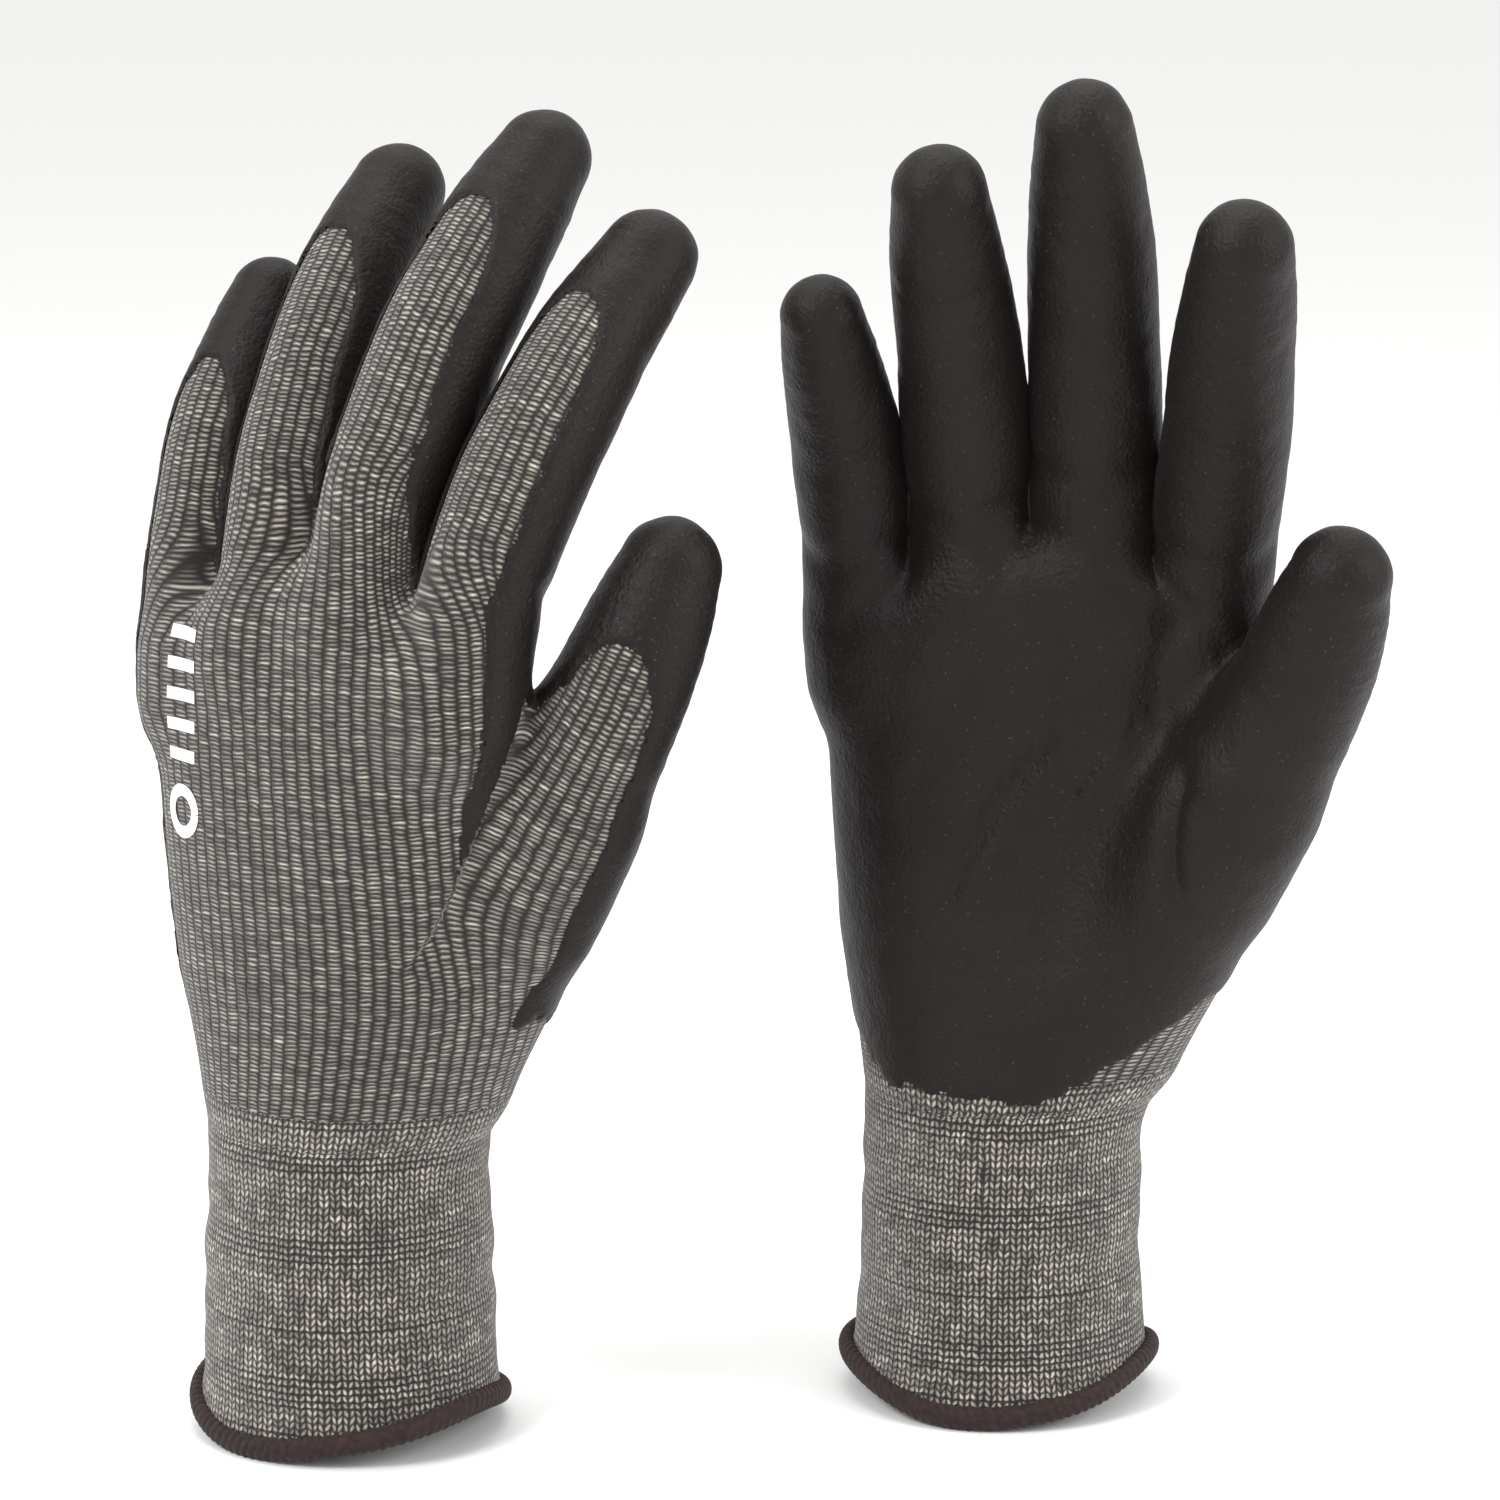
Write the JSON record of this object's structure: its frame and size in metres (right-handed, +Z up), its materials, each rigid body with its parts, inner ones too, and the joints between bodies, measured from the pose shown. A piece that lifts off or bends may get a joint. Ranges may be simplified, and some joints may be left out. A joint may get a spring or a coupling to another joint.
{
  "type": "work gloves",
  "caption": "Pair of seamless knit work gloves with a dipped palm and fingertip coating, elastic ribbed cuffs and overlocked hems, standing on the cuffs.",
  "frame": {"origin": "on the resting plane, below the middle of the pair's box", "axes": "+Z up from the hems to the fingertips; +X from the left glove to the right glove; -Y is the side that the right glove's palm faces"},
  "size_m": [0.227, 0.0895, 0.2533],
  "materials": {
    "hand_knit": "melange grey seamless knit, purl side out",
    "cuff_knit": "dark grey knit with light wales, face side out",
    "coating": "matt fine-grained foam dip coating",
    "hem": "dark red-brown overlock thread",
    "elastic": "off-white elastic thread",
    "print": "thin flat white print"
  },
  "bodies": {
    "left_cuff": {"left_cuff_elastic": "elastic", "left_cuff_knit": "cuff_knit", "left_hem": "hem"},
    "left_hand": {"left_back_mark": "print", "left_hand_knit": "hand_knit", "left_palm_coat": "coating"},
    "left_pinky_first": {"left_pinky_first_coat": "coating", "left_pinky_first_knit": "hand_knit"},
    "left_pinky_tip": {"left_pinky_tip_coat": "coating", "left_pinky_tip_knit": "hand_knit"},
    "left_ring_first": {"left_ring_first_coat": "coating", "left_ring_first_knit": "hand_knit"},
    "left_ring_tip": {"left_ring_tip_coat": "coating", "left_ring_tip_knit": "hand_knit"},
    "left_middle_first": {"left_middle_first_coat": "coating", "left_middle_first_knit": "hand_knit"},
    "left_middle_tip": {"left_middle_tip_coat": "coating", "left_middle_tip_knit": "hand_knit"},
    "left_index_first": {"left_index_first_coat": "coating", "left_index_first_knit": "hand_knit"},
    "left_index_tip": {"left_index_tip_coat": "coating", "left_index_tip_knit": "hand_knit"},
    "left_thumb_first": {"left_thumb_first_coat": "coating", "left_thumb_first_knit": "hand_knit"},
    "left_thumb_tip": {"left_thumb_tip_coat": "coating", "left_thumb_tip_knit": "hand_knit"},
    "right_cuff": {"right_cuff_elastic": "elastic", "right_cuff_knit": "cuff_knit", "right_hem": "hem"},
    "right_hand": {"right_back_mark": "print", "right_hand_knit": "hand_knit", "right_palm_coat": "coating"},
    "right_pinky_first": {"right_pinky_first_coat": "coating", "right_pinky_first_knit": "hand_knit"},
    "right_pinky_tip": {"right_pinky_tip_coat": "coating", "right_pinky_tip_knit": "hand_knit"},
    "right_ring_first": {"right_ring_first_coat": "coating", "right_ring_first_knit": "hand_knit"},
    "right_ring_tip": {"right_ring_tip_coat": "coating", "right_ring_tip_knit": "hand_knit"},
    "right_middle_first": {"right_middle_first_coat": "coating", "right_middle_first_knit": "hand_knit"},
    "right_middle_tip": {"right_middle_tip_coat": "coating", "right_middle_tip_knit": "hand_knit"},
    "right_index_first": {"right_index_first_coat": "coating", "right_index_first_knit": "hand_knit"},
    "right_index_tip": {"right_index_tip_coat": "coating", "right_index_tip_knit": "hand_knit"},
    "right_thumb_first": {"right_thumb_first_coat": "coating", "right_thumb_first_knit": "hand_knit"},
    "right_thumb_tip": {"right_thumb_tip_coat": "coating", "right_thumb_tip_knit": "hand_knit"}
  },
  "joints": [
    {"name": "right_glove_apart", "type": "slide", "parent": "left_cuff", "child": "right_cuff", "axis": [1, 0, 0], "range_m": [0, 0.3]},
    {"name": "left_wrist_bend", "type": "hinge", "parent": "left_cuff", "child": "left_hand", "pos_m": [-0.0773, -0.0063, 0.06], "axis": [-0.7986, 0.6018, 0], "range_deg": [-20, 20], "stiffness_Nm_per_rad": 0.6},
    {"name": "left_pinky_knuckle_bend", "type": "hinge", "parent": "left_hand", "child": "left_pinky_first", "pos_m": [-0.10313, 0.00429, 0.16384], "axis": [-0.7975, 0.6023, -0.0349], "range_deg": [-15, 40], "stiffness_Nm_per_rad": 0.06},
    {"name": "left_pinky_middle_bend", "type": "hinge", "parent": "left_pinky_first", "child": "left_pinky_tip", "pos_m": [-0.10008, 0.00952, 0.18438], "axis": [-0.7975, 0.6023, -0.0349], "range_deg": [-10, 40], "stiffness_Nm_per_rad": 0.04},
    {"name": "left_ring_knuckle_bend", "type": "hinge", "parent": "left_hand", "child": "left_ring_first", "pos_m": [-0.08636, -0.00869, 0.17333], "axis": [-0.7975, 0.6023, -0.0349], "range_deg": [-15, 40], "stiffness_Nm_per_rad": 0.06},
    {"name": "left_ring_middle_bend", "type": "hinge", "parent": "left_ring_first", "child": "left_ring_tip", "pos_m": [-0.0807, 0.00031, 0.19916], "axis": [-0.7975, 0.6023, -0.0349], "range_deg": [-10, 40], "stiffness_Nm_per_rad": 0.04},
    {"name": "left_middle_knuckle_bend", "type": "hinge", "parent": "left_hand", "child": "left_middle_first", "pos_m": [-0.06811, -0.02269, 0.17983], "axis": [-0.7896, 0.5886, 0.1736], "range_deg": [-15, 40], "stiffness_Nm_per_rad": 0.06},
    {"name": "left_middle_middle_bend", "type": "hinge", "parent": "left_middle_first", "child": "left_middle_tip", "pos_m": [-0.05807, -0.01706, 0.20642], "axis": [-0.7896, 0.5886, 0.1736], "range_deg": [-10, 40], "stiffness_Nm_per_rad": 0.04},
    {"name": "left_index_knuckle_bend", "type": "hinge", "parent": "left_hand", "child": "left_index_first", "pos_m": [-0.05045, -0.03547, 0.16584], "axis": [-0.7906, 0.5897, 0.165], "range_deg": [-15, 40], "stiffness_Nm_per_rad": 0.06},
    {"name": "left_index_middle_bend", "type": "hinge", "parent": "left_index_first", "child": "left_index_tip", "pos_m": [-0.03975, -0.02825, 0.19131], "axis": [-0.7906, 0.5897, 0.165], "range_deg": [-10, 40], "stiffness_Nm_per_rad": 0.04},
    {"name": "left_thumb_knuckle_bend", "type": "hinge", "parent": "left_hand", "child": "left_thumb_first", "pos_m": [-0.03764, -0.02844, 0.12121], "axis": [-0.8896, -0.23, 0.3945], "range_deg": [-15, 35], "stiffness_Nm_per_rad": 0.06},
    {"name": "left_thumb_middle_bend", "type": "hinge", "parent": "left_thumb_first", "child": "left_thumb_tip", "pos_m": [-0.02639, -0.03302, 0.14391], "axis": [-0.8896, -0.23, 0.3945], "range_deg": [-10, 50], "stiffness_Nm_per_rad": 0.04},
    {"name": "right_wrist_bend", "type": "hinge", "parent": "right_cuff", "child": "right_hand", "pos_m": [0.0456, 0.0151, 0.06], "axis": [0.9833, -0.1822, 0], "range_deg": [-20, 20], "stiffness_Nm_per_rad": 0.6},
    {"name": "right_pinky_knuckle_bend", "type": "hinge", "parent": "right_hand", "child": "right_pinky_first", "pos_m": [0.01846, 0.01681, 0.16403], "axis": [0.9792, -0.1871, 0.0783], "range_deg": [-15, 40], "stiffness_Nm_per_rad": 0.06},
    {"name": "right_pinky_middle_bend", "type": "hinge", "parent": "right_pinky_first", "child": "right_pinky_tip", "pos_m": [0.01565, 0.0106, 0.18433], "axis": [0.9792, -0.1871, 0.0783], "range_deg": [-10, 40], "stiffness_Nm_per_rad": 0.04},
    {"name": "right_ring_knuckle_bend", "type": "hinge", "parent": "right_hand", "child": "right_ring_first", "pos_m": [0.03918, 0.0123, 0.1735], "axis": [0.9818, -0.1851, 0.0435], "range_deg": [-15, 40], "stiffness_Nm_per_rad": 0.06},
    {"name": "right_ring_middle_bend", "type": "hinge", "parent": "right_ring_first", "child": "right_ring_tip", "pos_m": [0.03649, 0.00426, 0.20011], "axis": [0.9818, -0.1851, 0.0435], "range_deg": [-10, 40], "stiffness_Nm_per_rad": 0.04},
    {"name": "right_middle_knuckle_bend", "type": "hinge", "parent": "right_hand", "child": "right_middle_first", "pos_m": [0.06171, 0.00766, 0.17999], "axis": [0.9833, -0.1822, 0], "range_deg": [-15, 40], "stiffness_Nm_per_rad": 0.06},
    {"name": "right_middle_middle_bend", "type": "hinge", "parent": "right_middle_first", "child": "right_middle_tip", "pos_m": [0.06066, 0.00198, 0.20838], "axis": [0.9833, -0.1822, 0], "range_deg": [-10, 40], "stiffness_Nm_per_rad": 0.04},
    {"name": "right_index_knuckle_bend", "type": "hinge", "parent": "right_hand", "child": "right_index_first", "pos_m": [0.08333, 0.00465, 0.16602], "axis": [0.9765, -0.1717, -0.1302], "range_deg": [-15, 40], "stiffness_Nm_per_rad": 0.06},
    {"name": "right_index_middle_bend", "type": "hinge", "parent": "right_index_first", "child": "right_index_tip", "pos_m": [0.08497, -0.00605, 0.19245], "axis": [0.9765, -0.1717, -0.1302], "range_deg": [-10, 40], "stiffness_Nm_per_rad": 0.04},
    {"name": "right_thumb_knuckle_bend", "type": "hinge", "parent": "right_hand", "child": "right_thumb_first", "pos_m": [0.08762, -0.00513, 0.12029], "axis": [0.4249, -0.7653, -0.4836], "range_deg": [-15, 35], "stiffness_Nm_per_rad": 0.06},
    {"name": "right_thumb_middle_bend", "type": "hinge", "parent": "right_thumb_first", "child": "right_thumb_tip", "pos_m": [0.09842, -0.01303, 0.14229], "axis": [0.4249, -0.7653, -0.4836], "range_deg": [-10, 50], "stiffness_Nm_per_rad": 0.04}
  ]
}
